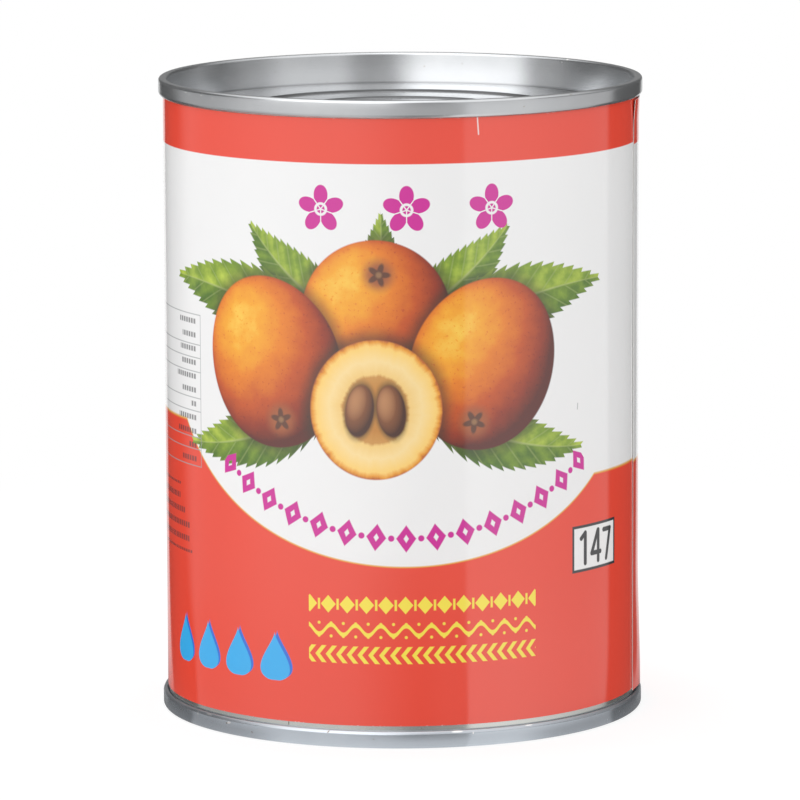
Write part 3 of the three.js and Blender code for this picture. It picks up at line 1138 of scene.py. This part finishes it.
def seen_rays(recipe):
    """Light Path's camera and transmission rays together, and its glossy rays."""
    camera = recipe.node("LightPath", None, None, "Is Camera Ray")
    through = recipe.node("LightPath", None, None, "Is Transmission Ray")
    glossy = recipe.node("LightPath", None, None, "Is Glossy Ray")
    return camera.most(through), glossy


def floor_reflection_pattern(x, y):
    """How bright the floor looks in metal and varnish: a painted reflection of white and darker
    zones, seen only by glossy rays.
    """
    near = (x.length_with(y) * (2.75 / SEAM_RADIUS) - 1.75) ** -1
    azimuth = x.angle_to(-y) * (180 / math.pi) * (near + 1)
    screen = azimuth.rise((near * 90 - 142).least(-123.5), -119.5)
    left = screen * 0.42 + azimuth.rise(-112, -55) * 0.45
    edge = azimuth.rise(29.5, 31)
    depth = near.rise(0.03, 0.15) * 0.25 - near.rise(0.42, 0.8) * 0.5 + 0.42
    gap = 1 - (azimuth.rise(-30, 12) - edge) * depth + edge * 0.05
    right = 1 - azimuth.rise(118, 122) * 0.54 - azimuth.rise(45, 118) * 0.41
    close = near**3
    beside = near.rise(0.5, 0.8) * abs(azimuth).rise(50, 80) * 0.35
    veil = (left + 0.05) * gap * right * (1 - near.rise(0.45, 0.6) * 0.13 - beside)
    behind = abs(azimuth).rise(162, 166) * (1 - near) * 0.9
    step = near.rise(0.05, 0.2) * (1 - near.rise(0.45, 0.6))
    tilt = 1 + step * (azimuth.rise(8, 22) * 0.34 - 0.2)
    return (veil * tilt).most(behind) + close * 0.2


def sky_screens(x, y, z):
    """The same for the white walls and ceiling."""
    azimuth = x.angle_to(-y) * (180 / math.pi)
    key = azimuth.rise(-104, -74) * 0.6 + azimuth.rise(-74, -60) * 0.95
    key = key - azimuth.rise(-12, 7) * 1.22
    fill = azimuth.rise(20, 32) * 0.45 - azimuth.rise(60, 106) * 0.78
    side = abs(azimuth).rise(60, 78) * (1 - z.rise(0.3, 0.4))
    height = (0.88 + z.rise(0.15, 0.55) * 0.7) * (1 - side * z.rise(0.13, 0.2) * 0.8)
    beside = azimuth.rise(78, 92) - azimuth.rise(118, 136)
    beside = beside * (z.rise(0.14, 0.22) + 1 - z.rise(0.04, 0.09)) * 0.38
    walls = (key + fill + 0.07) * height + beside
    behind = abs(azimuth).rise(158, 172) * 0.22
    slot = (y.rise(0.3, 0.38) - y.rise(0.56, 0.66)) * z.rise(0.7, 0.8)
    ceiling = (2.0 - x.rise(0, 0.3) * 0.6) * (1 - slot * 0.5)
    overhead = z.rise(0.45, 0.95)
    return walls.most(behind).most(0.07) * (1 - overhead) + ceiling * overhead


def studio_world():
    world = bpy.data.worlds.new("white_studio")
    recipe = Recipe(world)
    x, y, z = recipe.split(recipe.node("TexCoord", None, None, "Generated"))
    seen, glossy = seen_rays(recipe)
    mirrored = glossy * sky_screens(x, y, z)
    level = seen + mirrored + (1 - seen.most(glossy)) * AMBIENT
    sky = {"Color": (1, 1, 1, 1), "Strength": level}
    recipe.finish(recipe.node("Background", None, sky), "OutputWorld")
    bpy.context.scene.world = world


def floor_material():
    """Pale to the light, and white to the eye but for the shadow near the can; to glossy rays
    it glows in a painted reflection pattern.
    """
    recipe = material("studio_floor")
    x, y, _ = recipe.split(recipe.place())
    seen, glossy = seen_rays(recipe)
    far = x.length_with(y).rise(90, 260)
    pale = recipe.node("BsdfDiffuse", None, {"Color": (0.8, 0.8, 0.8, 1)})
    faint = recipe.node("BsdfDiffuse", None, {"Color": (0.3, 0.3, 0.3, 1)})
    glow = recipe.node("Emission", None, {"Strength": 0.74})
    white = recipe.node("Emission", None, {"Strength": 1.0})
    # Painted reflections: for glossy rays the floor glows in a pattern of bright and dark
    # zones.
    painted_reflections = recipe.node("Emission", None, {"Strength": floor_reflection_pattern(x, y)})
    shadowed = recipe.node("AddShader", None, {0: faint, 1: glow})
    shown = recipe.node("MixShader", None, {0: far, 1: shadowed, 2: white})
    shown = recipe.node("MixShader", None, {0: glossy, 1: shown, 2: painted_reflections})
    recipe.finish(recipe.node("MixShader", None, {0: seen.most(glossy), 1: pale, 2: shown}))
    return recipe.owner


def floor():
    shape = bmesh.new()
    bmesh.ops.create_grid(shape, x_segments=1, y_segments=1, size=6)
    mesh = bpy.data.meshes.new("studio_floor")
    shape.to_mesh(mesh)
    shape.free()
    mesh.materials.append(floor_material())
    made = bpy.data.objects.new("studio_floor", mesh)
    bpy.context.scene.collection.objects.link(made)


def softbox(name, azimuth, watts):
    """An upright soft light that faces the can."""
    lamp = bpy.data.lights.new(name, "AREA")
    lamp.shape = "RECTANGLE"
    lamp.size, lamp.size_y = LAMP_SIZE
    lamp.energy = watts
    made = bpy.data.objects.new(name, lamp)
    turn = math.radians(azimuth)
    across, back = LAMP_DISTANCE * math.sin(turn), -LAMP_DISTANCE * math.cos(turn)
    made.location = (across, back, LAMP_HEIGHT)
    toward = Vector((0, 0, LAMP_AIM)) - made.location
    made.rotation_euler = toward.to_track_quat("-Z", "Y").to_euler()
    made.visible_glossy = False
    bpy.context.scene.collection.objects.link(made)


studio_world()
floor()
softbox("front_softbox", -20, 4.45)
softbox("left_rim_softbox", -120, 6.8)
softbox("right_rim_softbox", 120, 4.5)

view = bpy.data.cameras.new("camera")
view.lens = LENS
view.sensor_width = SENSOR
view.shift_x = SHIFT
view.clip_end = 50
camera = bpy.data.objects.new("camera", view)
camera.location = CAMERA_PLACE
tip = Matrix.Rotation(math.radians(90 - CAMERA_DOWN), 3, "X")
roll = Matrix.Rotation(math.radians(CAMERA_ROLL), 3, "Z")
camera.rotation_euler = (tip @ roll).to_euler()
bpy.context.scene.collection.objects.link(camera)
bpy.context.scene.camera = camera
bpy.context.scene.view_settings.view_transform = "Standard"
